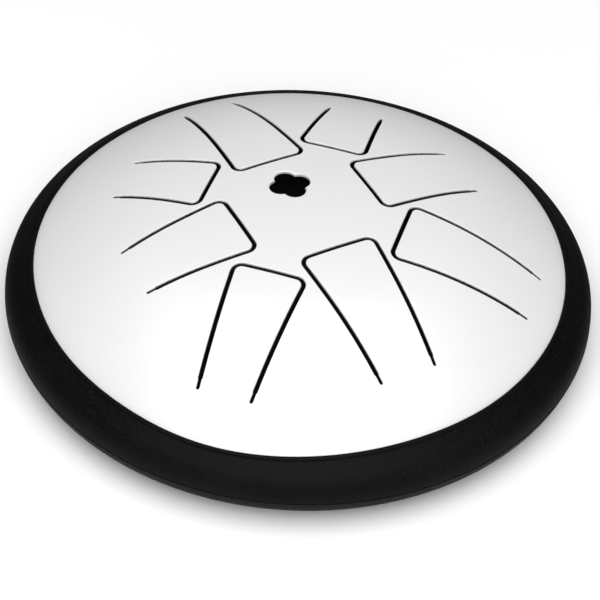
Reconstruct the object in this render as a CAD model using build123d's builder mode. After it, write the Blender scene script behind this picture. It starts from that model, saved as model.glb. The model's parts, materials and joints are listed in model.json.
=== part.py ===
from build123d import *
from math import acos, asin, atan2, cos, degrees, hypot, radians, sin
import os

# A steel tongue drum: a pressed steel dome with eight sounding tongues cut into it, closed below by a
# shallow steel pan, with a thick rubber ring stretched round the rim that the drum also stands on.
# Millimetres, +Z up, origin at the centre of the ring's foot.

# Rubber ring
drum_radius = 120.5             # out to the ring's belly
ring_height = 27.0              # from the foot to the edge of the upper lip
belly_flattening = 2.2          # the belly's radius is this much less than half the ring's height
foot_width = 5.0                # flat band that the drum stands on
edge_inset = 12.1               # from the belly in to the edge of the upper lip
lip_width = 1.4                 # flat top of the upper lip
lip_bead_radius = 0.8           # bead along that lip
lip_bead_inset = 0.5            # from the lip's edge out to the bead's centre
lip_bead_drop = 0.1             # the bead's centre under the lip's top
ring_fit_gap = 0.1              # between the rubber and the steel that it grips

# Pressed steel
sheet = 1.6
crown_radius = 304.0            # curvature of the dome's middle
crown_reach = 51.0              # how far out that curvature goes
shoulder_radius = 128.4         # curvature from there to the rim
rim_bend_radius = 10.0
rim_cover = 6.2                 # how far the steel runs on under the ring, past the lip
heel_bend_radius = 5.0
floor_gap = 5.0                 # air under the pan
land_width = 14.0               # flat band round the pan's raised panel
panel_rise = 2.5
panel_bend_radius = 5.0

# Weld that joins the two pressings
weld_radius = 0.8
weld_gap = 0.05
seam_gap = 0.1

# Slots that free the tongues
slot_width = 1.8
slot_corner_radius = 3.5
nick_width = 1.3                # the last stretch of each slot is narrower
nick_length = 4.0
root_gap = 0.05                 # where a tongue's root meets the dome

# Anticlockwise from +X: tip to the drum's axis, root to the ring's lip, half widths between the slots'
# middles at the tip and at the root
tongues = [
    (41.0, 12.0, 16.0, 12.0),
    (29.0, 34.5, 15.5, 13.0),
    (39.0, 33.0, 14.0, 11.5),
    (29.0, 20.0, 15.5, 11.5),
    (39.5, 32.0, 14.0, 11.5),
    (28.0, 35.5, 16.0, 12.5),
    (40.5, 15.5, 14.5, 10.5),
    (28.5, 21.0, 16.0, 11.5),
]
tongue_spacing = 360 / len(tongues)

# Sound hole: four overlapping round lobes, between the drum's axis and the fourth tongue
sound_hole_tongue = 4
sound_hole_distance = 11.7
lobe_radius = 4.5
lobe_offset = 4.2

# What follows from these
edge_radius = drum_radius - edge_inset
edge_height = ring_height
seam_height = ring_height / 2
wall_radius = edge_radius + rim_cover
belly_radius = ring_height / 2 - belly_flattening
belly_centre_radius = drum_radius - belly_radius
foot_inner_radius = belly_centre_radius - foot_width
lip_outer_radius = edge_radius + lip_width
lip_reach = hypot(lip_outer_radius - belly_centre_radius, ring_height / 2)
lip_bearing = degrees(atan2(ring_height / 2, lip_outer_radius - belly_centre_radius))
belly_top_angle = lip_bearing - degrees(acos(belly_radius / lip_reach))
belly_bottom_angle = degrees(acos(belly_radius / (ring_height / 2))) - 90

crown_angle = degrees(asin(crown_reach / crown_radius))
shoulder_centre_radius = (crown_radius - shoulder_radius) * sin(radians(crown_angle))
edge_angle = degrees(asin((edge_radius - shoulder_centre_radius) / shoulder_radius))
shoulder_centre_height = edge_height - shoulder_radius * cos(radians(edge_angle))
crown_centre_height = shoulder_centre_height - (crown_radius - shoulder_radius) * cos(radians(crown_angle))
bend_centre_radius = wall_radius - rim_bend_radius
bend_reach = (bend_centre_radius - shoulder_centre_radius) / (shoulder_radius - rim_bend_radius)
bend_angle = degrees(asin(bend_reach))
bend_centre_height = shoulder_centre_height + (shoulder_radius - rim_bend_radius) * cos(radians(bend_angle))
apex_height = crown_centre_height + crown_radius

heel_centre_radius = wall_radius - heel_bend_radius
heel_centre_height = floor_gap + heel_bend_radius
land_inner_radius = heel_centre_radius - land_width
panel_bend_angle = degrees(acos(1 - panel_rise / (2 * panel_bend_radius)))
panel_radius = land_inner_radius - 2 * panel_bend_radius * sin(radians(panel_bend_angle))


def dome_contour(growth, seam):
    """The dome's outside from the axis to the seam, moved outwards by growth."""
    CenterArc((0, crown_centre_height), crown_radius + growth, 90, -crown_angle)
    CenterArc(
        (shoulder_centre_radius, shoulder_centre_height),
        shoulder_radius + growth,
        90 - crown_angle,
        crown_angle - bend_angle,
    )
    bend = CenterArc(
        (bend_centre_radius, bend_centre_height),
        rim_bend_radius + growth,
        90 - bend_angle,
        bend_angle - 90,
    )
    Line(bend @ 1, (wall_radius + growth, seam))


def pan_contour(growth, seam):
    """The pan's outside from the seam to the axis, moved outwards by growth."""
    heel = CenterArc(
        (heel_centre_radius, heel_centre_height),
        heel_bend_radius + growth,
        0,
        -90,
    )
    Line((wall_radius + growth, seam), heel @ 0)
    lower_bend = CenterArc(
        (land_inner_radius, floor_gap + panel_bend_radius),
        panel_bend_radius + growth,
        -90,
        -panel_bend_angle,
    )
    Line(heel @ 1, lower_bend @ 0)
    upper_bend = CenterArc(
        (panel_radius, floor_gap + panel_rise - panel_bend_radius),
        panel_bend_radius - growth,
        90 - panel_bend_angle,
        panel_bend_angle,
    )
    Line(upper_bend @ 1, (0, floor_gap + panel_rise - growth))


def tongue_plane(index):
    return Plane.XY.rotated((0, 0, index * tongue_spacing))


def slot_edge(index, side, root_clearance):
    """Plan of one edge of a slot, closed across the root: side 1 is the dome's edge, -1 the tongue's."""
    tip_radius, root_inset, tip_half_width, root_half_width = tongues[index]
    root_radius = edge_radius - root_inset
    nick_start = root_radius - nick_length
    taper = (tip_half_width - root_half_width) / (root_radius - tip_radius)
    nick_start_half_width = root_half_width + taper * nick_length
    slot_side = side * slot_width / 2
    nick_side = side * nick_width / 2
    left = [
        (root_radius - root_clearance, root_half_width + taper * root_clearance + nick_side),
        (nick_start, nick_start_half_width + nick_side),
        (nick_start, nick_start_half_width + slot_side),
        (tip_radius - slot_side, tip_half_width + slot_side),
    ]
    right = [(x, -y) for x, y in reversed(left)]
    with BuildSketch(tongue_plane(index)) as edge:
        with BuildLine():
            Polyline(*left, *right, close=True)
        make_face()
        tip_corners = edge.vertices().group_by(Axis.X)[0]
        fillet(tip_corners, radius=slot_corner_radius + slot_side)
    return edge.sketch


os.makedirs("parts", exist_ok=True)


# Section of the sheet that the dome and its tongues are made of
with BuildSketch(Plane.XZ) as dome_section:
    dome_seam = seam_height + seam_gap / 2
    with BuildLine():
        dome_contour(0, dome_seam)
        dome_contour(-sheet, dome_seam)
        Line((0, apex_height - sheet), (0, apex_height))
        Line((wall_radius - sheet, dome_seam), (wall_radius, dome_seam))
    make_face()


# Dome, with an opening for each tongue and the sound hole
with BuildPart() as top_shell:
    revolve(dome_section.sketch, axis=Axis.Z)
    for index in range(len(tongues)):
        extrude(slot_edge(index, 1, 0), amount=apex_height, mode=Mode.SUBTRACT)
    with BuildSketch(tongue_plane(sound_hole_tongue - 1)):
        with Locations((sound_hole_distance, 0)):
            with PolarLocations(lobe_offset, 4):
                Circle(lobe_radius)
    extrude(amount=apex_height, mode=Mode.SUBTRACT)
top_shell.part.label = "top_shell"
export_step(top_shell.part, "parts/top_shell.step")


# Tongues, cut from the same sheet as the dome
for index in range(len(tongues)):
    with BuildPart() as blade:
        revolve(dome_section.sketch, axis=Axis.Z)
        extrude(slot_edge(index, -1, root_gap), amount=apex_height, mode=Mode.INTERSECT)
    blade.part.label = f"tongue_{index + 1}"
    export_step(blade.part, f"parts/{blade.part.label}.step")


# Pan that closes the drum below, clear of the table
with BuildPart() as bottom_shell:
    with BuildSketch(Plane.XZ):
        pan_seam = seam_height - seam_gap / 2
        with BuildLine():
            pan_contour(0, pan_seam)
            pan_contour(-sheet, pan_seam)
            Line((0, floor_gap + panel_rise), (0, floor_gap + panel_rise + sheet))
            Line((wall_radius - sheet, pan_seam), (wall_radius, pan_seam))
        make_face()
    revolve(axis=Axis.Z)
bottom_shell.part.label = "bottom_shell"
export_step(bottom_shell.part, "parts/bottom_shell.step")


# Weld bead round the seam
with BuildPart() as rim_weld:
    with BuildSketch(Plane.XZ):
        with BuildLine():
            bead = CenterArc((wall_radius + weld_gap, seam_height), weld_radius, -90, 180)
            Line(bead @ 1, bead @ 0)
        make_face()
    revolve(axis=Axis.Z)
rim_weld.part.label = "rim_weld"
export_step(rim_weld.part, "parts/rim_weld.step")


# Rubber ring: a round belly between two straight faces, hollowed to the rim and the weld that it grips
with BuildPart() as rubber_ring:
    with BuildSketch(Plane.XZ):
        with BuildLine():
            belly = CenterArc(
                (belly_centre_radius, ring_height / 2),
                belly_radius,
                belly_bottom_angle,
                belly_top_angle - belly_bottom_angle,
            )
            Polyline(
                belly @ 1,
                (lip_outer_radius, ring_height),
                (foot_inner_radius, ring_height),
                (foot_inner_radius, 0),
                (belly_centre_radius, 0),
                belly @ 0,
            )
        make_face()
        with Locations((edge_radius + lip_bead_inset, ring_height - lip_bead_drop)):
            Circle(lip_bead_radius)
        with BuildLine():
            dome_contour(ring_fit_gap, seam_height)
            pan_contour(ring_fit_gap, seam_height)
            Line((0, floor_gap + panel_rise - ring_fit_gap), (0, apex_height + ring_fit_gap))
        make_face(mode=Mode.SUBTRACT)
        with Locations((wall_radius + weld_gap, seam_height)):
            Circle(weld_radius + ring_fit_gap, mode=Mode.SUBTRACT)
    revolve(axis=Axis.Z)
rubber_ring.part.label = "rubber_ring"
export_step(rubber_ring.part, "parts/rubber_ring.step")
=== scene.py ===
import json
from math import asin, atan2, cos, degrees, hypot, pi, radians, sin

import bpy
import numpy as np
from mathutils import Matrix, Vector
from mathutils.geometry import delaunay_2d_cdt


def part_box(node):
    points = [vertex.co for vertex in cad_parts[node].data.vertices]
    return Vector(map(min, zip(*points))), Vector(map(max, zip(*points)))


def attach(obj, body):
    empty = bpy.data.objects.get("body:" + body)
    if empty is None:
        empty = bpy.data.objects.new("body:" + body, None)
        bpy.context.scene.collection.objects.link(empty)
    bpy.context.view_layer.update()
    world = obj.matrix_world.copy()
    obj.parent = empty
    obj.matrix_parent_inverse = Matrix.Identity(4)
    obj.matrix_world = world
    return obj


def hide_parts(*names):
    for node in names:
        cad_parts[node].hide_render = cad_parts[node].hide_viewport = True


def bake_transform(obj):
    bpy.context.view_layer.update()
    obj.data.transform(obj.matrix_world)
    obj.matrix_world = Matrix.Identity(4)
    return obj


# A steel tongue drum with a rubber rim ring. Shapes are worked out in millimetres, +Z up, and put into
# the meshes in metres.
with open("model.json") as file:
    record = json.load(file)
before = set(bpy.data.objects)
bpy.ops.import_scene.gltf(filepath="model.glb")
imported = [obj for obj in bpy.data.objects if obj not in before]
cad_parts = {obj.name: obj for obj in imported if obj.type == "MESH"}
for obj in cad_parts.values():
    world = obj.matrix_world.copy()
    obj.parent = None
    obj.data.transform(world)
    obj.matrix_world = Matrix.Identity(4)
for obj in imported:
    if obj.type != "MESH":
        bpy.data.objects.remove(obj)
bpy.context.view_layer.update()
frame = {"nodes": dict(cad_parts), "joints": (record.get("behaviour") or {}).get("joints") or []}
nodes = frame["nodes"]
joints = {joint["name"]: joint for joint in frame["joints"]}
mm = 0.001

shellLow, shellHigh = (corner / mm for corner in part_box("top_shell"))
panLow, panHigh = (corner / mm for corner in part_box("bottom_shell"))
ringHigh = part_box("rubber_ring")[1] / mm
print("frame loaded:", len(nodes), "parts")


class Wire:
    # an output socket that can be used in sums; each sum adds its own Math node
    def __init__(self, tree, socket):
        self.tree = tree
        self.socket = socket

    def maths(self, operation, *values):
        node = self.tree.nodes.new("ShaderNodeMath")
        node.operation = operation
        for place, value in enumerate(values):
            if isinstance(value, Wire):
                self.tree.links.new(value.socket, node.inputs[place])
            else:
                node.inputs[place].default_value = value
        return Wire(self.tree, node.outputs[0])

    def __add__(self, other):
        return self.maths("ADD", self, other)

    def __radd__(self, other):
        return self.maths("ADD", other, self)

    def __sub__(self, other):
        return self.maths("SUBTRACT", self, other)

    def __rsub__(self, other):
        return self.maths("SUBTRACT", other, self)

    def __mul__(self, other):
        return self.maths("MULTIPLY", self, other)

    def __rmul__(self, other):
        return self.maths("MULTIPLY", other, self)

    def __truediv__(self, other):
        return self.maths("DIVIDE", self, other)

    def __rtruediv__(self, other):
        return self.maths("DIVIDE", other, self)


class Finish:
    # a material under construction
    def __init__(self, name, **constants):
        self.material = bpy.data.materials.new(name)
        self.material.use_nodes = True
        self.tree = self.material.node_tree
        self.shader = self.tree.nodes["Principled BSDF"]
        for socket, value in constants.items():
            self.shader.inputs[socket.replace("_", " ")].default_value = value

    def add(self, kind, settings, sockets, output=0):
        node = self.tree.nodes.new("ShaderNode" + kind)
        for name, value in settings.items():
            setattr(node, name, value)
        for name, value in sockets.items():
            if isinstance(value, Wire):
                self.tree.links.new(value.socket, node.inputs[name])
            else:
                node.inputs[name].default_value = value
        return Wire(self.tree, node.outputs[output])

    def place(self):
        return self.add("TexCoord", {}, {}, "Object")

    def noise(self, size, detail, roughness=0.5):
        # soft noise from 0 to 1 whose lumps are about size millimetres across
        return self.add("TexNoise", {}, {
            "Vector": self.place(), "Scale": 1 / (size * mm), "Detail": detail, "Roughness": roughness}, "Fac")

    def ramp(self, value, low, high, start=0.0, end=1.0):
        # start below low, end above high, smooth between
        return self.add("MapRange", {"interpolation_type": "SMOOTHSTEP"}, {
            "Value": value, "From Min": low, "From Max": high, "To Min": start, "To Max": end})

    def specks(self, spacing, radius, share):
        # 1 in small spots; a share of the cells, spacing millimetres apart, holds one
        cells = {"Vector": self.place(), "Scale": 1 / (spacing * mm), "Randomness": 1.0}
        away = self.add("TexVoronoi", {}, cells, "Distance")
        pick = self.add("SeparateColor", {}, {"Color": self.add("TexVoronoi", {}, cells, "Color")})
        reach = radius / spacing
        spot = self.ramp(away, reach * 0.6, reach, 1.0, 0.0)
        return spot * self.ramp(pick, share, share + 0.01, 1.0, 0.0)

    def blend(self, factor, first, second):
        # first where factor is 0, second where it is 1
        return self.add("Mix", {"data_type": "RGBA", "clamp_factor": True}, {
            0: factor, 6: first, 7: second}, 2)

    def bump(self, height, depth, under=None):
        sockets = {"Height": height, "Strength": 1.0, "Distance": depth * mm}
        if under is not None:
            sockets["Normal"] = under
        return self.add("Bump", {}, sockets)

    def feed(self, **sockets):
        for name, wire in sockets.items():
            self.tree.links.new(wire.socket, self.shader.inputs[name.replace("_", " ")])
        return self.material


def grey(value, warmth=0.0):
    return (value * (1 + warmth), value, value * (1 - warmth), 1.0)


def gridFaces(rows, columns, closed):
    # quads of a grid whose points are stored row by row; a closed grid joins its last column to its first
    row = np.arange(rows - 1)[:, None]
    column = np.arange(columns if closed else columns - 1)[None, :]
    following = (column + 1) % columns
    quads = np.stack([
        row * columns + column, row * columns + following,
        (row + 1) * columns + following, (row + 1) * columns + column], axis=-1)
    return quads.reshape(-1, 4)


def spreads(points, faces):
    # twice each face's area along its normal, from its first three corners
    first, second, third = (points[faces[:, place]] for place in range(3))
    return np.cross(second - first, third - first)


def facingOut(points, normals, faces):
    # the same faces, turned over if they look against the normals of their corners
    wanted = normals[faces].mean(axis=1)
    return faces if (spreads(points, faces) * wanted).sum() > 0 else faces[:, ::-1]


def layMesh(name, points, faces, materials, materialIndex, cornerNormals=None):
    # a mesh object at the origin from points in millimetres
    mesh = bpy.data.meshes.new(name)
    mesh.from_pydata((points * mm).tolist(), [], faces, shade_flat=False)
    for material in materials:
        mesh.materials.append(material)
    mesh.polygons.foreach_set("material_index", materialIndex)
    if cornerNormals is not None:
        mesh.normals_split_custom_set(cornerNormals.tolist())
    mesh.validate()
    piece = bpy.data.objects.new(name, mesh)
    bpy.context.scene.collection.objects.link(piece)
    return piece


def eased(share):
    # 0 below 0, 1 above 1, smooth between
    share = np.clip(share, 0, 1)
    return share * share * (3 - 2 * share)


def circle(count):
    # plan directions evenly round the axis
    around = np.linspace(0, 2 * pi, count, endpoint=False)
    return np.stack([np.cos(around), np.sin(around)], axis=1)


def arc(centre, radius, start, stop, step=4.0):
    # points along an arc in a section, angles in degrees
    count = max(3, int(abs(stop - start) / step) + 2)
    angle = np.radians(np.linspace(start, stop, count))
    return np.stack([centre[0] + radius * np.cos(angle), centre[1] + radius * np.sin(angle)], axis=1)


def evenly(profile, step, closed):
    # the same line with points at even steps
    line = np.vstack([profile, profile[:1]]) if closed else profile
    travelled = np.append(0, np.cumsum(np.hypot(*np.diff(line, axis=0).T)))
    count = int(travelled[-1] / step) + 1
    where = np.linspace(0, travelled[-1], count, endpoint=not closed)
    return np.stack([np.interp(where, travelled, line[:, axis]) for axis in (0, 1)], axis=1)


def softened(profile, radius, closed, step=0.05):
    # corners rounded: even steps, each point replaced by its neighbours' bell-curve average
    line = evenly(profile, step, closed)
    reach = int(3 * radius / step)
    bell = np.exp(-0.5 * (np.arange(-reach, reach + 1) * step / radius) ** 2)
    bell /= bell.sum()
    if closed:
        padded = np.vstack([line[-reach:], line, line[:reach]])
    else:
        padded = np.vstack([2 * line[0] - line[reach:0:-1], line, 2 * line[-1] - line[-2:-reach - 2:-1]])
    return np.stack([np.convolve(padded[:, axis], bell, "valid") for axis in (0, 1)], axis=1)


def sectionNormals(line, closed):
    # unit normals to the right of the direction of travel
    if closed:
        along = np.roll(line, -1, axis=0) - np.roll(line, 1, axis=0)
    else:
        along = np.gradient(line, axis=0)
    along /= np.hypot(*along.T)[:, None]
    return np.stack([along[:, 1], -along[:, 0]], axis=1)


def thinned(line, closed, stride, turn):
    # the points worth keeping: one each stride millimetres or turn degrees
    normal = sectionNormals(line, closed)
    step = np.hypot(*np.diff(line, axis=0).T)
    bend = np.degrees(np.arccos(np.clip((normal[1:] * normal[:-1]).sum(axis=1), -1, 1)))
    effort = np.append(0, np.cumsum(step / stride + bend / turn))
    count = int(effort[-1]) + 2
    picked = np.searchsorted(effort, np.linspace(0, effort[-1], count, endpoint=not closed))
    return line[np.unique(np.clip(picked, 0, len(line) - 1))]


def turnedPiece(name, section, columns, materials, rowMaterial, sway=None):
    # a section carried round the axis: x = r cos a, y = r sin a, z as drawn. A closed section gives a
    # ring; an open one starts and ends on the axis. sway(angle, radius, height) moves it at each angle.
    closed = section[0, 0] > 0
    angle = np.linspace(0, 2 * pi, columns, endpoint=False)
    inner = section if closed else section[1:-1]
    radius = np.repeat(inner[:, :1], columns, axis=1)
    height = np.repeat(inner[:, 1:], columns, axis=1)
    if sway:
        radius, height = sway(angle[None, :], radius, height)
    points = np.stack([radius * np.cos(angle), radius * np.sin(angle), height], axis=-1).reshape(-1, 3)
    rows = len(inner)
    around = np.arange(columns)
    following = (around + 1) % columns
    last = (rows - 1) * columns
    faces = gridFaces(rows, columns, True)
    rowOfFace = np.repeat(np.arange(rows - 1), columns)
    if closed:
        faces = np.vstack([faces, np.stack([last + around, last + following, following, around], axis=1)])
        rowOfFace = np.append(rowOfFace, np.full(columns, rows - 1))
    # the volume inside comes out negative when the faces look inwards
    turnedOver = (points[faces].mean(axis=1) * spreads(points, faces)).sum() < 0
    faceList = (faces[:, ::-1] if turnedOver else faces).tolist()
    if not closed:
        start, end = len(points), len(points) + 1
        points = np.vstack([points, [0, 0, section[0, 1]], [0, 0, section[-1, 1]]])
        startFan = np.stack([np.full(columns, start), following, around], axis=1)
        endFan = np.stack([np.full(columns, end), last + around, last + following], axis=1)
        for fan in (startFan, endFan):
            faceList += (fan[:, ::-1] if turnedOver else fan).tolist()
        rowOfFace = np.concatenate([rowOfFace, np.zeros(columns, int), np.full(columns, rows - 1)])
    return layMesh(name, points, faceList, materials, rowMaterial[rowOfFace])


# Finishes. Sizes and depths are in millimetres; specks are spacing, radius and the share of places filled.
lacquerLook = {
    "colour": 0.74,
    "tint": (1.0, 0.998, 0.995),
    "coat": 0.03,
    "coatRoughness": 0.3,
    "specular": 0.12,
    "drift": 55.0,            # size of its slow changes of tone
    "mottle": 0.03,           # how much the tone drifts
    "metal": 0.15,
    "roughness": 0.44,
    "roughening": (0.05, 0.05, 0.02),  # by flake, drift and cut steel
    "flake": 0.5,
    "flakeTone": 0.05,
    "flakeDepth": 0.0012,
    "peel": 2.4,              # size of the lacquer's ripples
    "peelDepth": 0.004,
    "coatedDepth": 0.55,      # how far the lacquer reaches down a slot's wall
    "coatedFade": 0.35,
    "burr": 0.55,             # size of the cut steel's roughness
    # near-black cut steel low on the slots' walls: partly the bare steel's colour, partly painted shade of the
    # narrow slots
    "cutSteelShadeTones": (0.03, 0.10),
    "steelMetal": 0.3,        # on top of the lacquer's
}


def pearlLacquer(name, look):
    # satin silver-white lacquer with fine flakes; the cut edges let the steel through, and low on the slots'
    # walls that steel is near black, partly its own colour and partly painted shade of the narrow slots
    finish = Finish(
        name, Coat_Weight=look["coat"], Coat_Roughness=look["coatRoughness"],
        Specular_IOR_Level=look["specular"])
    drift = finish.noise(look["drift"], 3.0)
    flake = finish.noise(look["flake"], 1.0, 0.6)
    peel = finish.noise(look["peel"], 2.0)
    depth = finish.add("Attribute", {"attribute_name": "cutDepth"}, {}, "Fac")
    burr = finish.noise(look["burr"], 2.0, 0.7)
    # cut: 0 on the lacquer, 1 low on a slot's wall, where the near-black steel is partly painted shade
    cut = finish.ramp(depth + (burr - 0.5), look["coatedDepth"], look["coatedDepth"] + look["coatedFade"])
    unevenness = look["mottle"] * (drift - 0.5) + look["flakeTone"] * (flake - 0.5)
    bright = look["colour"] * (1 + unevenness)
    red, green, blue = look["tint"]
    body = finish.add("CombineColor", {}, {"Red": bright * red, "Green": bright * green, "Blue": bright * blue})
    darkSteelShade, paleSteelShade = (grey(tone, 0.01) for tone in look["cutSteelShadeTones"])
    byFlake, byDrift, byCut = look["roughening"]
    return finish.feed(
        Base_Color=finish.blend(cut, body, finish.blend(burr, darkSteelShade, paleSteelShade)),
        Roughness=look["roughness"] + byFlake * (flake - 0.5) + byDrift * (drift - 0.5) + byCut * cut,
        Metallic=look["metal"] + look["steelMetal"] * cut,
        Normal=finish.bump(peel, look["peelDepth"], finish.bump(flake, look["flakeDepth"])))


insideShadeLook = {
    "metal": 0.3,
    "stain": 14.0,
    # near-black tones: painted shade of the closed drum's inside, over its bare steel
    "tones": (0.010, 0.028),
    "roughness": (0.55, 0.80),
}


def shadedInside(name, look):
    # uncoated steel inside the drum, painted near black: painted shade for the dark inside of the closed drum
    finish = Finish(name, Metallic=look["metal"])
    stain = finish.noise(look["stain"], 4.0)
    dark, pale = look["tones"]
    smooth, rough = look["roughness"]
    return finish.feed(
        Base_Color=finish.blend(stain, grey(dark), grey(pale, 0.05)),
        Roughness=smooth + (rough - smooth) * stain)


rubberLook = {
    "specular": 0.08,
    "grain": 0.5,
    "grainDepth": 0.035,
    "mottle": 0.9,
    "smear": 2.6,
    "smearDepth": 0.10,
    "bloom": 26.0,            # size of its cloudy patches
    "bloomShare": 0.35,       # of the changes in tone; the rest is mottle
    "tones": (0.0002, 0.0042),
    "roughness": 0.46,
    "roughening": (0.12, 0.16, 0.10, 0.12),  # by bloom, smear, mottle and dust
    "dust": (2.0, 0.28, 0.4),
    "dustTone": 0.035,
    "dustCover": 0.45,        # how far a speck hides the rubber
    "lint": (5.0, 0.32, 0.3),
    "lintTone": 0.05,
    "lintCover": 0.4,
}


def blackRubber(name, look):
    # matte moulded rubber with a faint bloom, fine grain and a few specks of dust
    finish = Finish(name, Specular_IOR_Level=look["specular"])
    grain = finish.noise(look["grain"], 3.0, 0.7)
    bloom = finish.noise(look["bloom"], 4.0, 0.6)
    smear = finish.noise(look["smear"], 3.0, 0.65)
    mottle = finish.ramp(finish.noise(look["mottle"], 2.0, 0.7), 0.35, 0.65)
    dust = finish.specks(*look["dust"])
    lint = finish.specks(*look["lint"])
    dark, pale = (grey(tone) for tone in look["tones"])
    share = look["bloomShare"]
    body = finish.blend(share * finish.ramp(bloom, 0.35, 0.75) + (1 - share) * mottle, dark, pale)
    dusty = finish.blend(look["dustCover"] * dust, body, grey(look["dustTone"]))
    byBloom, bySmear, byMottle, byDust = look["roughening"]
    unevenness = byBloom * bloom + bySmear * (smear - 0.5) + byMottle * (mottle - 0.5) + byDust * dust
    return finish.feed(
        Base_Color=finish.blend(look["lintCover"] * lint, dusty, grey(look["lintTone"], 0.03)),
        Roughness=look["roughness"] + unevenness,
        Normal=finish.bump(smear, look["smearDepth"], finish.bump(grain, look["grainDepth"])))


weldLook = {
    "ripple": 1.1,
    "rippleDepth": 0.12,
    "heat": 18.0,             # size of its heat-tinted patches
    "tones": (0.30, 0.46),
    "roughness": (0.30, 0.52),
}


def weldSteel(name, look):
    # heat-tinted steel with the ripples of a weld run round the axis
    finish = Finish(name, Metallic=1.0)
    ripple = finish.noise(look["ripple"], 2.0, 0.6)
    heat = finish.noise(look["heat"], 3.0)
    dark, pale = look["tones"]
    smooth, rough = look["roughness"]
    return finish.feed(
        Base_Color=finish.blend(heat, grey(dark, 0.06), grey(pale, 0.02)),
        Roughness=smooth + (rough - smooth) * ripple,
        Normal=finish.bump(ripple, look["rippleDepth"]))


domeLacquer = pearlLacquer("dome_lacquer", lacquerLook)
panLacquer = pearlLacquer("pan_lacquer", dict(lacquerLook, mottle=0.06, roughness=0.42, peelDepth=0.006))
# the inside finish is near-black painted shade of the closed drum's inside
insideSteelShade = shadedInside("inside_steel_shade", insideShadeLook)
ringRubber = blackRubber("ring_rubber", rubberLook)
seamSteel = weldSteel("seam_steel", weldLook)
print("finishes made")


# Pressed steel: the dome and the tongues are cut from one sheet
press = {
    "sheet": 1.6,
    "crownRadius": 304.0,     # curvature of the dome's middle
    "crownReach": 51.0,       # how far out that curvature goes
    "shoulderRadius": 128.4,  # curvature from there to the rim
    "bendRadius": 10.0,
    "lipRadius": 108.4,       # where the rubber's lip meets the dome
    "edgeRounding": 0.32,     # of the slots' edges
    "seamRounding": 0.3,
    "netStep": 2.6,           # between the mesh's points inside the sheet
    "netClear": 0.55,         # of that step, kept free beside the edges
    "leastArea": 0.001,       # thinner triangles are dropped: they come from straight sides
    "rimStart": 101.0,        # beyond this the section is simply carried round
    "rimColumns": 360,
}
wallRadius = shellHigh[0]
apexHeight = shellHigh[2]
seamHeight = shellLow[2]
crownAngle = asin(press["crownReach"] / press["crownRadius"])
arcShift = press["crownRadius"] - press["shoulderRadius"]
crownCentre = (0.0, apexHeight - press["crownRadius"])
shoulderCentre = (arcShift * sin(crownAngle), crownCentre[1] + arcShift * cos(crownAngle))
bendCentreRadius = wallRadius - press["bendRadius"]
bendReach = press["shoulderRadius"] - press["bendRadius"]
bendAngle = asin((bendCentreRadius - shoulderCentre[0]) / bendReach)
bendCentre = (bendCentreRadius, shoulderCentre[1] + bendReach * cos(bendAngle))


def skin(plan, growth):
    # points and normals of the dome over plan points: the crown's arc near the axis, the shoulder's beyond,
    # both moved outwards by growth
    radius = np.hypot(plan[..., 0], plan[..., 1])
    crown = radius < (press["crownRadius"] + growth) * sin(crownAngle)
    across = np.where(crown, radius, radius - shoulderCentre[0])
    size = np.where(crown, press["crownRadius"], press["shoulderRadius"]) + growth
    lean = across / size
    rise = np.sqrt(1 - lean ** 2)
    height = np.where(crown, crownCentre[1], shoulderCentre[1]) + size * rise
    outward = plan / np.maximum(radius, 1e-9)[..., None]
    points = np.concatenate([plan, height[..., None]], axis=-1)
    return points, np.concatenate([outward * lean[..., None], rise[..., None]], axis=-1)


def insideLoop(points, loop, batch=4000):
    # True where a point is inside the loop: an odd number of its sides cross the ray to the right
    ahead = np.roll(loop, -1, axis=0)
    inside = np.zeros(len(points), bool)
    for start in range(0, len(points), batch):
        x, y = (points[start:start + batch, axis][:, None] for axis in (0, 1))
        spans = (loop[:, 1] > y) != (ahead[:, 1] > y)
        rise = np.where(ahead[:, 1] == loop[:, 1], 1.0, ahead[:, 1] - loop[:, 1])
        cross = loop[:, 0] + (y - loop[:, 1]) * (ahead[:, 0] - loop[:, 0]) / rise
        inside[start:start + batch] = (spans & (x < cross)).sum(axis=1) % 2 == 1
    return inside


def insideSheet(points, outer, holes):
    inside = insideLoop(points, outer)
    for hole in holes:
        inside &= ~insideLoop(points, hole)
    return inside


def fillPlan(outer, holes):
    # triangles between closed loops, on the loops' own points and a staggered net inside them
    step = press["netStep"]
    low, high = outer.min(axis=0), outer.max(axis=0)
    across = np.arange(low[0], high[0], step)
    up = np.arange(low[1], high[1], step * 0.866)  # rows of even triangles
    net = np.stack(np.meshgrid(across, up), axis=-1)
    net[1::2, :, 0] += step / 2
    net = net.reshape(-1, 2)
    net = net[insideSheet(net, outer, holes)]
    border = np.vstack([outer] + holes)
    nearest = np.concatenate([
        np.hypot(part[:, None, 0] - border[:, 0], part[:, None, 1] - border[:, 1]).min(axis=1)
        for part in np.array_split(net, max(1, len(net) // 1000))])
    plan = np.vstack([border, net[nearest > press["netClear"] * step]])
    sides, start = [], 0
    for loop in [outer] + holes:
        index = start + np.arange(len(loop))
        sides.append(np.stack([index, np.roll(index, -1)], axis=1))
        start += len(loop)
    cut = delaunay_2d_cdt([Vector(point) for point in plan], np.vstack(sides).tolist(), [], 0, 1e-7)
    original = np.array([(owners or [-1])[0] for owners in cut[3]])
    triangles = original[np.array(cut[2])]
    corners = plan[triangles]
    area = np.abs(np.cross(corners[:, 1] - corners[:, 0], corners[:, 2] - corners[:, 0])) / 2
    whole = (triangles.min(axis=1) >= 0) & (area > press["leastArea"])
    return plan, triangles[whole & insideSheet(corners.mean(axis=1), outer, holes)]


edgeTurn = np.radians([0, 22, 45, 68, 90])


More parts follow.
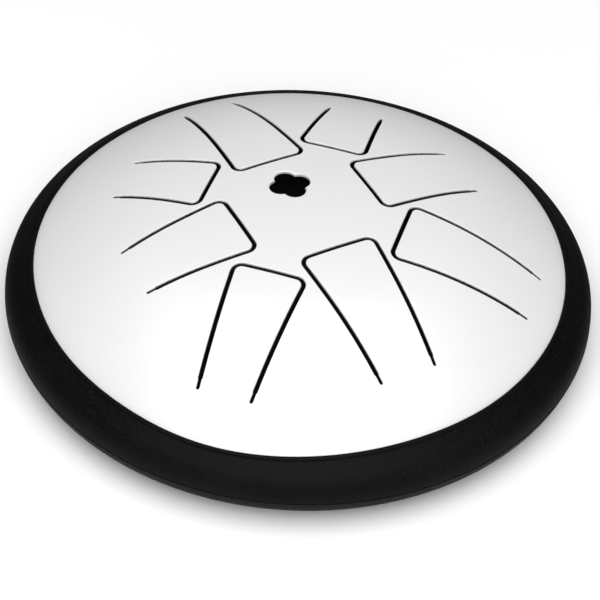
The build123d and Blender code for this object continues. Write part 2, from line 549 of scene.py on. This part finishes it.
def cutEdge(inset, wall, rounding):
    # the cut edge below the inset line: over the rounding, down the wall and round to the inside, one
    # column for each point of the line. Rows run from the outside to the inside of the sheet.
    side = (wall - inset) / rounding
    side = np.hstack([side, np.zeros((len(side), 1))])
    rows, looks = [], []
    for growth, turns in ((0.0, edgeTurn[1:]), (-press["sheet"], edgeTurn[:0:-1])):
        sign = 1 if growth == 0 else -1
        for turn in turns:
            plan = inset + side[:, :2] * rounding * sin(turn)
            place, look = skin(plan, growth)
            place[:, 2] -= sign * rounding * (1 - cos(turn))
            look = sign * look * cos(turn) + side * sin(turn)
            rows.append(place)
            looks.append(look / np.linalg.norm(look, axis=1)[:, None])
    return np.array(rows), np.array(looks)


class Sheet:
    # gathers the faces of one piece of pressed sheet
    def __init__(self):
        self.points, self.normals, self.cut = [], [], []
        self.count = 0
        self.faces, self.looks, self.finish = [], [], []

    def addPoints(self, points, normals, depth=0.0):
        index = self.count + np.arange(len(points))
        self.points.append(points)
        self.normals.append(normals)
        self.cut.append(np.broadcast_to(depth, len(points)))
        self.count += len(points)
        return index

    def addFaces(self, faces, finish=0, flat=None):
        points, normals = np.vstack(self.points), np.vstack(self.normals)
        if flat is not None:
            normals = np.broadcast_to(flat, normals.shape)
        faces = facingOut(points, normals, faces)
        self.faces += faces.tolist()
        self.looks.append(normals[faces.ravel()])
        self.finish.append(np.full(len(faces), finish))

    def addSkins(self, plan, triangles):
        # the sheet's outside and its inside over the same plan
        top = self.addPoints(*skin(plan, 0.0))
        self.addFaces(top[triangles])
        place, look = skin(plan, -press["sheet"])
        under = self.addPoints(place, -look)
        # the inside skin takes the second finish: steel painted near black as shade of the closed drum
        self.addFaces(under[triangles], 1)
        return top, under

    def addCut(self, top, under, inset, wall, closed, rounding, coated=1.0):
        # sews a cut edge between the two skins' points; low on the wall it takes the near-black cut steel,
        # partly painted shade of the slot; coated 0 is lacquered all the way down
        points, looks = cutEdge(inset, wall, rounding)
        rows, columns = points.shape[:2]
        depth = coated * np.maximum(points[:1, :, 2] - points[:, :, 2], 0)
        middle = self.addPoints(points.reshape(-1, 3), looks.reshape(-1, 3), depth.ravel())
        grid = np.vstack([top[None, :], middle.reshape(rows, columns), under[None, :]])
        self.addFaces(grid.ravel()[gridFaces(rows + 2, columns, closed)])
        return grid

    def addRoot(self, top, under, grid, towards):
        # the flat face where tongue and dome meet, across the sheet under the root line
        ladder = np.stack([top, under])
        self.addFaces(ladder.ravel()[gridFaces(2, len(top), False)], flat=towards)
        for column, end in ((grid[:, 0], -1), (grid[:, -1], 0)):
            wedge = np.append(column, [under[end], top[end]])
            self.addFaces(wedge[None, :], flat=towards)

    def build(self, name, materials):
        piece = layMesh(
            name, np.vstack(self.points), self.faces, materials,
            np.concatenate(self.finish), np.vstack(self.looks))
        edge = piece.data.attributes.new("cutDepth", "FLOAT", "POINT")
        edge.data.foreach_set("value", np.concatenate(self.cut).astype(np.float32))
        return piece


# Tongues and the slots that free them
slot = {
    "width": 1.8,
    "corner": 3.5,            # radius of the slot's middle at the tip's corners
    "nickWidth": 1.3,         # the last stretch of each slot is narrower
    "nickLength": 3.1,
    "nickStep": 0.15,         # half the length over which it narrows
    "stride": 1.2,            # between the mesh's points along a slot
    "cornerPoints": 12,
    "endPoints": 11,          # round each end
    "rootPoints": 12,
    "bendLength": 15.0,       # how much of a tongue bends, from its root
}
# tip to the drum's axis, half widths between the slots' middles at the tip and at the root
tongues = {
    "tongue_1": (41.0, 16.0, 12.0),
    "tongue_2": (29.0, 15.5, 13.0),
    "tongue_3": (39.0, 14.0, 11.5),
    "tongue_4": (29.0, 15.5, 11.5),
    "tongue_5": (39.5, 14.0, 11.5),
    "tongue_6": (28.0, 16.0, 12.5),
    "tongue_7": (40.5, 14.5, 10.5),
    "tongue_8": (28.5, 16.0, 11.5),
}


def slotLines(name):
    # middle line of a slot in plan: down one leg, round the corner, across the tip, and its mirror image
    # back. Gives the points, the sides away from the tongue, the directions at both ends and the half
    # widths. Points lie closer together where the slot narrows.
    tip, tipHalf, rootHalf = tongues[name]
    hinge = joints[name + "_flex"]["pos_m"]
    root = hypot(hinge[0], hinge[1]) / mm
    bearing = atan2(hinge[1], hinge[0])
    leg = np.array([tip - root, tipHalf - rootHalf])
    heading = atan2(leg[1], leg[0])
    turning = 1.5 * pi - heading % (2 * pi)
    setBack = slot["corner"] * np.tan(turning / 2)
    legLength = hypot(*leg) - setBack
    nick, nickStep = slot["nickLength"], slot["nickStep"]
    travelled = np.concatenate([
        [0.0, 1.0, 2.0], nick + nickStep * np.linspace(-1, 1, 4),
        np.linspace(nick + 1, legLength, int(legLength / slot["stride"]))])
    start = np.array([root, rootHalf])
    legPoints = start + travelled[:, None] * np.array([cos(heading), sin(heading)])
    turns = heading + turning * np.linspace(0, 1, slot["cornerPoints"])[1:]
    side = np.stack([np.sin(turns), -np.cos(turns)], axis=1)
    firstSide = np.array([sin(heading), -cos(heading)])
    cornerPoints = legPoints[-1] - slot["corner"] * firstSide + slot["corner"] * side
    acrossY = np.linspace(cornerPoints[-1, 1], 0, int(tipHalf / slot["stride"]))[1:]
    tipPoints = np.stack([np.full(len(acrossY), cornerPoints[-1, 0]), acrossY], axis=1)
    half = np.vstack([legPoints, cornerPoints, tipPoints])
    headings = np.concatenate([
        np.full(len(legPoints), heading), turns, np.full(len(tipPoints), heading + turning)])
    direction = np.stack([np.cos(headings), np.sin(headings)], axis=1)
    middle = np.vstack([half, half[-2::-1] * [1, -1]])
    direction = np.vstack([direction, direction[-2::-1] * [-1, 1]])
    away = np.stack([direction[:, 1], -direction[:, 0]], axis=1)
    ends = np.append(0, np.cumsum(np.hypot(*np.diff(middle, axis=0).T)))
    ends = np.minimum(ends, ends[-1] - ends)
    opened = eased((ends - nick + nickStep) / (2 * nickStep))
    halfWidth = (slot["nickWidth"] + (slot["width"] - slot["nickWidth"]) * opened) / 2
    turnTo = np.array([[cos(bearing), sin(bearing)], [-sin(bearing), cos(bearing)]])
    return middle @ turnTo, away @ turnTo, direction[[0, -1]] @ turnTo, halfWidth[:, None]


def slotEdges(name):
    # the two sides of a slot: the dome's, with the round ends, and the tongue's; each as its inset line and
    # its wall line. Then the points of the root line between the two ends.
    middle, away, (firstDirection, lastDirection), half = slotLines(name)
    rounding = press["edgeRounding"]
    turn = np.radians(np.linspace(0, 180, slot["endPoints"]))[:, None]
    first = -np.cos(turn) * away[0] - np.sin(turn) * firstDirection
    last = np.cos(turn) * away[-1] + np.sin(turn) * lastDirection
    shellSide = np.vstack([first[:-1], away, last[1:]])
    repeats = np.ones(len(middle), int)
    repeats[[0, -1]] = len(turn)
    shellMiddle, shellHalf = np.repeat(middle, repeats, axis=0), np.repeat(half, repeats, axis=0)
    shellWall = shellMiddle + shellHalf * shellSide
    shellInset = shellMiddle + (shellHalf + rounding) * shellSide
    tongueWall = middle - half * away
    tongueInset = middle - (half + rounding) * away
    share = np.linspace(0, 1, slot["rootPoints"])[1:-1, None]
    rootLine = tongueInset[-1] * (1 - share) + tongueInset[0] * share
    return shellInset, shellWall, tongueInset, tongueWall, rootLine


def buildTongue(name):
    _, _, inset, wall, rootLine = slotEdges(name)
    plan, triangles = fillPlan(np.vstack([inset, rootLine]), [])
    sheet = Sheet()
    top, under = sheet.addSkins(plan, triangles)
    line = np.arange(len(inset))
    grid = sheet.addCut(top[line], under[line], inset, wall, False, press["edgeRounding"])
    root = len(inset) + np.arange(len(rootLine))
    hinge = Vector(joints[name + "_flex"]["pos_m"])
    outward = Vector((hinge.x, hinge.y, 0)).normalized()
    sheet.addRoot(top[root], under[root], grid, np.array(outward))
    piece = sheet.build(name + "_blade", [domeLacquer, insideSteelShade])
    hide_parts(name)
    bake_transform(piece)


for name in tongues:
    buildTongue(name)
print("tongues made")


# Dome
hole = {
    "bearing": 135.0,         # degrees, towards the fourth tongue
    "distance": 11.7,
    "lobe": 4.5,
    "lobeOffset": 4.2,
    "rounding": 0.55,         # of its edges
    "points": 96,
}


def holeLine(growth):
    # outline of four overlapping round lobes in polar form: offset cos t + sqrt(r^2 - offset^2 sin^2 t)
    # around the nearest lobe's own direction
    around = np.linspace(0, 2 * pi, hole["points"], endpoint=False)
    own = (around + pi / 4) % (pi / 2) - pi / 4
    offset = hole["lobeOffset"]
    reach = offset * np.cos(own) + np.sqrt((hole["lobe"] + growth) ** 2 - (offset * np.sin(own)) ** 2)
    bearing = radians(hole["bearing"])
    centre = hole["distance"] * np.array([cos(bearing), sin(bearing)])
    return centre + reach[:, None] * np.stack([np.cos(around + bearing), np.sin(around + bearing)], axis=1)


def rimSection():
    # section of the dome's rim from the outside down to the seam and back up inside
    sheet, start, rounding = press["sheet"], press["rimStart"], press["seamRounding"]
    reach = degrees(asin((start - shoulderCentre[0]) / press["shoulderRadius"]))
    innerReach = degrees(asin((start - shoulderCentre[0]) / (press["shoulderRadius"] - sheet)))
    bend = degrees(bendAngle)
    outside = np.vstack([
        arc(shoulderCentre, press["shoulderRadius"], 90 - reach, 90 - bend, 0.8),
        arc(bendCentre, press["bendRadius"], 90 - bend, 0, 6)[1:],
        arc((wallRadius - rounding, seamHeight + rounding), rounding, 0, -90, 30)])
    inside = np.vstack([
        arc((wallRadius - sheet + rounding, seamHeight + rounding), rounding, -90, -180, 30),
        arc(bendCentre, press["bendRadius"] - sheet, 0, 90 - bend, 6),
        arc(shoulderCentre, press["shoulderRadius"] - sheet, 90 - bend, 90 - innerReach, 0.8)[1:]])
    return np.vstack([outside, inside]), len(outside)


def carriedRound(across, up, directions):
    # section values taken round the axis: across becomes x and y, up becomes z
    flat = across[:, None, None] * directions
    return np.concatenate([flat, np.broadcast_to(up[:, None, None], flat.shape[:2] + (1,))], axis=-1)


def buildDome():
    directions = circle(press["rimColumns"])
    outer = press["rimStart"] * directions
    edges = [slotEdges(name) for name in tongues]
    holeInset, holeWall = holeLine(hole["rounding"]), holeLine(0.0)
    loops = [np.vstack([inset, rootLine]) for inset, _, _, _, rootLine in edges] + [holeInset]
    sheet = Sheet()
    top, under = sheet.addSkins(*fillPlan(outer, loops))
    start = len(outer)
    for name, (inset, wall, _, _, rootLine) in zip(tongues, edges):
        line = start + np.arange(len(inset))
        grid = sheet.addCut(top[line], under[line], inset, wall, False, press["edgeRounding"])
        root = start + len(inset) + np.arange(len(rootLine))
        hinge = joints[name + "_flex"]["pos_m"]
        inward = -np.array([hinge[0], hinge[1], 0]) / hypot(hinge[0], hinge[1])
        sheet.addRoot(top[root], under[root], grid, inward)
        start += len(inset) + len(rootLine)
    line = start + np.arange(len(holeInset))
    sheet.addCut(top[line], under[line], holeInset, holeWall, True, hole["rounding"], 0.0)

    section, outsideCount = rimSection()
    normal = -sectionNormals(section, False)[1:-1]
    section = section[1:-1]
    points = carriedRound(section[:, 0], section[:, 1], directions)
    looks = carriedRound(normal[:, 0], normal[:, 1], directions)
    rim = sheet.addPoints(points.reshape(-1, 3), looks.reshape(-1, 3)).reshape(len(section), -1)
    edge = np.arange(len(outer))
    grid = np.vstack([top[edge][None, :], rim, under[edge][None, :]])
    # outside rows take the lacquer, inside rows the near-black steel painted as shade of the drum's inside
    for rows, finish in ((slice(0, outsideCount + 1), 0), (slice(outsideCount, None), 1)):
        part = grid[rows]
        sheet.addFaces(part.ravel()[gridFaces(len(part), part.shape[1], True)], finish)
    return sheet.build("dome", [domeLacquer, insideSteelShade])


dome = buildDome()
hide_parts("top_shell")
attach(dome, "drum")
print("dome made:", len(dome.data.polygons), "faces")


# Pan that closes the drum below
pan = {
    "heel": 5.0,
    "landWidth": 14.0,
    "panelRise": 2.5,
    "panelBend": 5.0,
    "softening": 0.15,
    "columns": 240,
}


def panSection():
    # the pan's section from the axis, inside: out over the raised panel and the land, up to the seam, and
    # back along the underside
    floorGap = panLow[2]
    heelCentre = (wallRadius - pan["heel"], floorGap + pan["heel"])
    landStart = heelCentre[0] - pan["landWidth"]
    rise, bend = pan["panelRise"], pan["panelBend"]
    slope = degrees(np.arccos(1 - rise / (2 * bend)))
    panelEdge = landStart - 2 * bend * sin(radians(slope))
    sheet, top = press["sheet"], panHigh[2]
    inside = np.vstack([
        [[0, floorGap + rise + sheet]],
        arc((panelEdge, floorGap + rise - bend), bend + sheet, 90, 90 - slope),
        arc((landStart, floorGap + bend), bend - sheet, -90 - slope, -90),
        arc(heelCentre, pan["heel"] - sheet, -90, 0),
        [[wallRadius - sheet, top]]])
    under = np.vstack([
        [[wallRadius, top]],
        arc(heelCentre, pan["heel"], 0, -90),
        arc((landStart, floorGap + bend), bend, -90, -90 - slope),
        arc((panelEdge, floorGap + rise - bend), bend, 90 - slope, 90),
        [[0, floorGap + rise]]])
    line = softened(np.vstack([inside, under]), pan["softening"], False)
    line[0, 0] = line[-1, 0] = 0.0
    return thinned(line, False, 4.0, 7.0)


section = panSection()
# the pan's inside rows take the near-black steel, painted as shade of the closed drum
rowFinish = (np.arange(len(section)) < np.argmax(section[:, 1])).astype(int)  # bare steel up to the seam
panPiece = turnedPiece("pan", section, pan["columns"], [panLacquer, insideSteelShade], rowFinish)
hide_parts("bottom_shell")
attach(panPiece, "drum")
print("pan made:", len(panPiece.data.polygons), "faces")


# Rubber ring
ring = {
    "bellyFlattening": 2.2,   # the belly's radius is this much less than half the ring's height
    "footWidth": 5.0,
    "edgeInset": 12.1,        # from the belly in to the lip
    "lipWidth": 1.4,
    "beadRadius": 0.95,
    "beadInset": 0.65,
    "beadDrop": 0.45,
    "groove": ((1.20, -0.30), (1.50, -0.09)),  # behind the bead, out and up from its centre
    "fitGap": 0.1,            # to the steel that it grips
    "weldInset": 0.05,
    "weldRadius": 0.9,
    "softening": 0.10,
    "columns": 380,
    "seamAngle": -2.0,        # the mould's parting line, up or down the belly
    "seamDepth": 0.24,
    "seamWidth": 0.22,
    "flashRise": 0.12,        # the flash just under it
    "flashDrop": 0.7,
    "flashWidth": 0.5,
    "lipSag": 2.1,            # how far the lip has slipped down the dome on one side
    "lipSagBearing": 273.4,
    "lipSagWidth": 23.0,
    "lipWaves": ((0.12, 3, 2.0), (0.05, 11, 1.0)),  # size, number round the rim and shift of each
    "slipHeights": (19.0, 8.5),  # the slip fades in from this height up, over this much
    "slipRadii": (117.0, 8.0),   # and from this radius inwards, over this much
}


def ringSection():
    # the ring's section: lip, belly and foot outside, the shape of the rim that it grips inside
    height = ringHigh[2]
    bellyRadius = height / 2 - ring["bellyFlattening"]
    bellyCentre = (ringHigh[0] - bellyRadius, height / 2)
    edge = ringHigh[0] - ring["edgeInset"]
    lipOuter = (edge + ring["lipWidth"], height)
    reach = hypot(lipOuter[0] - bellyCentre[0], height / 2)
    bearing = degrees(atan2(height / 2, lipOuter[0] - bellyCentre[0]))
    bellyTop = bearing - degrees(np.arccos(bellyRadius / reach))
    bellyBottom = degrees(np.arccos(bellyRadius / (height / 2))) - 90
    footInner = bellyCentre[0] - ring["footWidth"]
    gap = ring["fitGap"]
    beadCentre = np.array([edge + ring["beadInset"], height - ring["beadDrop"]])
    lipLean = degrees(asin((edge - shoulderCentre[0]) / press["shoulderRadius"]))
    turns = np.arange(bellyTop, bellyBottom, -0.4)
    along = np.radians(turns - ring["seamAngle"]) * bellyRadius
    swell = (
        ring["flashRise"] * np.exp(-((along + ring["flashDrop"]) / ring["flashWidth"]) ** 2)
        - ring["seamDepth"] * np.exp(-(along / ring["seamWidth"]) ** 2))
    belly = np.array(bellyCentre) + (bellyRadius + swell)[:, None] * np.stack([
        np.cos(np.radians(turns)), np.sin(np.radians(turns))], axis=1)
    outside = np.vstack([
        arc(beadCentre, ring["beadRadius"], 190, 0, 12),
        beadCentre + np.array(ring["groove"]),
        belly,
        [[bellyCentre[0], 0], [footInner, 0], [footInner, panLow[2] - gap]]])
    bend = degrees(bendAngle)
    heelCentre = (wallRadius - pan["heel"], panLow[2] + pan["heel"])
    inside = np.vstack([
        arc(heelCentre, pan["heel"] + gap, -90, 0, 6),
        arc((wallRadius + ring["weldInset"], height / 2), ring["weldRadius"], -80, 80, 20),
        arc(bendCentre, press["bendRadius"] + gap, 0, 90 - bend, 4),
        arc(shoulderCentre, press["shoulderRadius"] + gap, 90 - bend, 90 - lipLean + 0.12, 0.5)])
    return thinned(softened(np.vstack([outside, inside]), ring["softening"], True), True, 1.4, 6.0)


def lipSway(angle, radius, height):
    # near its lip the ring follows the dome's slope down by the sag, a bell curve round the rim, which
    # fades down the section; two slow waves keep the rest of the lip from being perfectly even
    bearing = (np.degrees(angle) - ring["lipSagBearing"] + 180) % 360 - 180
    sag = ring["lipSag"] * np.exp(-(bearing / ring["lipSagWidth"]) ** 2)
    for size, number, shift in ring["lipWaves"]:
        sag = sag + size * np.sin(number * angle + shift)
    (lowest, rise), (widest, spread) = ring["slipHeights"], ring["slipRadii"]
    slip = eased((height - lowest) / rise) * eased((widest - radius) / spread) * sag
    lean = asin((press["lipRadius"] - shoulderCentre[0]) / press["shoulderRadius"])
    return radius + slip * cos(lean), height - slip * sin(lean)


section = ringSection()
rowFinish = np.zeros(len(section), int)
ringPiece = turnedPiece("rim_rubber", section, ring["columns"], [ringRubber], rowFinish, lipSway)
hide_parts("rubber_ring")
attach(ringPiece, "drum")
print("ring made:", len(ringPiece.data.polygons), "faces")

for holder in nodes["rim_weld"].material_slots:
    holder.material = seamSteel


# Floor, light and camera
studio = {
    "floorReach": 1.5,        # metres
    "floorTones": (0.86, 0.88),
    "floorCloud": 240.0,
    # painted shade: glossy rays see the floor behind the drum painted dark to this tone
    "flagShadeTone": 0.15,         # of the floor behind the drum, in the drum's gloss
    "flagShadeBearing": 16.0,      # the front that it is behind, to the right of the -Y side
    "flagShadeEdge": (-0.16, 0.06),  # metres past the drum's axis where it begins and where it is whole
    "bandBearing": 24.0,      # the broad light at the front, to the right of the -Y side
    "bandStart": 0.12,
    "bandFade": 0.42,
    "frontHorizon": 0.80,
    "backHorizon": 0.08,
    "zenith": 0.34,
    "backdrop": 0.84,
    "aim": (0, 0, 0.03),      # what the lights look at
}
lights = {
    "front_light": {"place": (0.40, -1.42, 1.06), "size": (1.5, 0.5), "power": 4.5},
    "top_light": {"place": (0.09, -0.36, 1.6), "size": (2.2, 2.2), "power": 35.5},
}


def paleFloor(name):
    # a plain pale floor; the part of it behind the drum is painted dark for glossy rays, a painted shade that
    # makes it show only dimly in the drum's gloss, as a floor flagged off from the lights does
    finish = Finish(name, Specular_IOR_Level=0.2)
    cloud = finish.noise(studio["floorCloud"], 3.0)
    where = finish.place()
    across, depth = (finish.add("SeparateXYZ", {}, {"Vector": where}, axis) for axis in "XY")
    bearing = radians(studio["flagShadeBearing"])
    # behind: the floor behind the drum, painted dark for glossy rays as painted shade in the drum's reflection
    behind = finish.ramp(cos(bearing) * depth - sin(bearing) * across, *studio["flagShadeEdge"])
    mirrored = finish.add("LightPath", {}, {}, "Is Glossy Ray")
    pale = finish.blend(cloud, *(grey(tone) for tone in studio["floorTones"]))
    return finish.feed(
        Base_Color=finish.blend(mirrored * behind, pale, grey(studio["flagShadeTone"])),
        Roughness=0.7 + 0.1 * cloud)


def layFloor():
    edge = studio["floorReach"] * circle(128)
    mesh = bpy.data.meshes.new("floor")
    mesh.from_pydata(np.hstack([edge, np.zeros((len(edge), 1))]).tolist(), [], [list(range(len(edge)))])
    mesh.materials.append(paleFloor("pale_floor"))
    floor = bpy.data.objects.new("floor", mesh)
    bpy.context.scene.collection.objects.link(floor)


def hangSky():
    # light from all round: a broad band at the front, soft at both ends, that fades up to the zenith
    world = bpy.data.worlds.new("studio")
    world.use_nodes = True
    sky = world.node_tree
    place = sky.nodes.new("ShaderNodeTexCoord")
    parts = sky.nodes.new("ShaderNodeSeparateXYZ")
    sky.links.new(place.outputs["Generated"], parts.inputs[0])
    across, depth, climb = (Wire(sky, parts.outputs[axis]) for axis in "XYZ")
    climb = climb.maths("MAXIMUM", climb, 0.0)
    bearing = radians(studio["bandBearing"])
    front = (sin(bearing) * across - cos(bearing) * depth - studio["bandStart"]) / studio["bandFade"]
    front = front.maths("MINIMUM", front.maths("MAXIMUM", front, 0.0), 1.0)
    front = front * front * (3 - 2 * front)
    horizon = studio["backHorizon"] + (studio["frontHorizon"] - studio["backHorizon"]) * front
    glow = horizon + (studio["zenith"] - horizon) * climb * climb
    straight = Wire(sky, sky.nodes.new("ShaderNodeLightPath").outputs["Is Camera Ray"])
    glow = glow + straight * (studio["backdrop"] - glow)  # seen directly it is a pale backdrop
    background = sky.nodes["Background"]
    background.inputs["Color"].default_value = grey(1.0)
    sky.links.new(glow.socket, background.inputs["Strength"])
    bpy.context.scene.world = world


def softLight(name, place, size, power):
    lamp = bpy.data.lights.new(name, "AREA")
    lamp.shape = "RECTANGLE"
    lamp.size, lamp.size_y = size
    lamp.energy = power
    holder = bpy.data.objects.new(name, lamp)
    bpy.context.scene.collection.objects.link(holder)
    towards = Vector(studio["aim"]) - Vector(place)
    holder.matrix_world = Matrix.Translation(place) @ towards.to_track_quat("-Z", "Y").to_matrix().to_4x4()


layFloor()
hangSky()
for name, light in lights.items():
    softLight(name, **light)

view = {
    "centre": (0.0, 0.0, 0.027),
    "distance": 0.7598,
    "elevation": 42.31,
    "bearing": 15.86,         # to the right of the -Y side
    "pan": 0.06,
    "tilt": 1.37,
    "roll": -3.00,
    "lens": 111.53,
    "sensor": 36.0,
    "nearest": 0.02,
}


def setCamera():
    # the camera looks at the centre from its bearing and elevation, then is trimmed by roll, tilt and pan
    rise, turn = radians(view["elevation"]), radians(view["bearing"])
    look = Vector((-sin(turn) * cos(rise), cos(turn) * cos(rise), -sin(rise)))
    right = Vector((cos(turn), sin(turn), 0))
    base = Matrix((right, right.cross(look), -look)).transposed()
    trim = (Matrix.Rotation(radians(view["roll"]), 3, "Z")
            @ Matrix.Rotation(radians(view["tilt"]), 3, "X")
            @ Matrix.Rotation(radians(view["pan"]), 3, "Y"))
    lens = bpy.data.cameras.new("camera")
    lens.lens = view["lens"]
    lens.sensor_width = view["sensor"]
    lens.clip_start = view["nearest"]
    camera = bpy.data.objects.new("camera", lens)
    bpy.context.scene.collection.objects.link(camera)
    place = Vector(view["centre"]) - look * view["distance"]
    camera.matrix_world = Matrix.Translation(place) @ (base @ trim.transposed()).to_4x4()
    bpy.context.scene.camera = camera


setCamera()
bpy.context.scene.view_settings.view_transform = "Standard"
print("studio ready")
